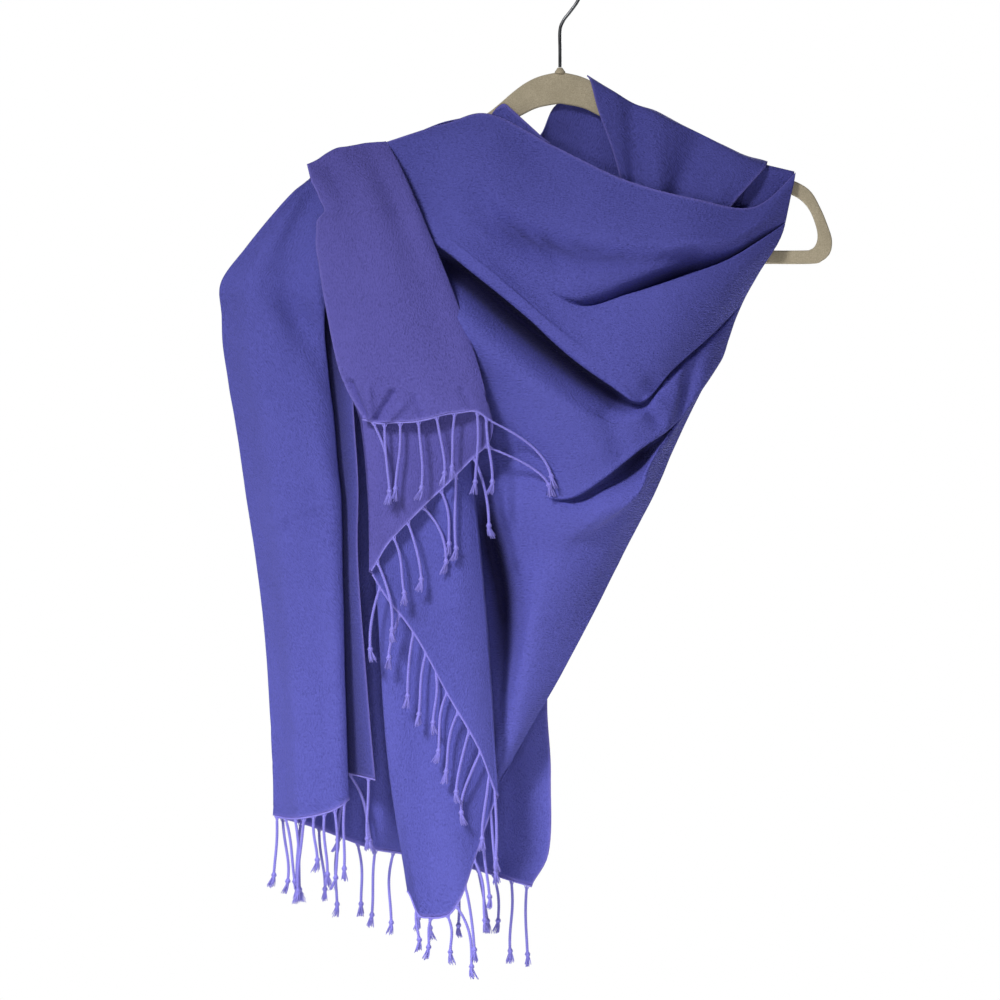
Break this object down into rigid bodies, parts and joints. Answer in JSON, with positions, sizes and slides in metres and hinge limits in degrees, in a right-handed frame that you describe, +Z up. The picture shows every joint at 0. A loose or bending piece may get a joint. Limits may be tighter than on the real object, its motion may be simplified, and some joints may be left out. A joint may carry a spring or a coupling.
{
  "type": "pashmina shawl on a hanger",
  "caption": "Long fringed shawl draped over a slim hanger, with a cowl fold across the front, a stepped cascade of pleats and hanging ends.",
  "frame": {"origin": "top inside of the hook, where the hanger is held on a rail", "axes": "+X to the viewer's right, +Y to the back, +Z up; the front faces -Y"},
  "size_m": [0.5005, 0.1045, 0.8469],
  "materials": {
    "shawl_cloth": "soft sheen",
    "fringe": "soft sheen",
    "hanger_velvet": "flocked",
    "hook_metal": "satin"
  },
  "bodies": {
    "root": {"flap": "shawl_cloth", "pleat_upper": "shawl_cloth", "pleat_middle": "shawl_cloth", "pleat_lower": "shawl_cloth", "left_panel": "shawl_cloth", "left_pleat": "shawl_cloth", "back_panel": "shawl_cloth", "front_drape": "shawl_cloth", "collar_band": "shawl_cloth", "shoulder_loop": "shawl_cloth", "neck_wrap": "shawl_cloth", "fringe_flap": "fringe", "fringe_upper": "fringe", "fringe_middle": "fringe", "fringe_lower": "fringe", "fringe_left": "fringe", "fringe_pleat": "fringe", "fringe_back": "fringe", "hanger_body": "hanger_velvet", "hanger_hook": "hook_metal"}
  },
  "joints": []
}
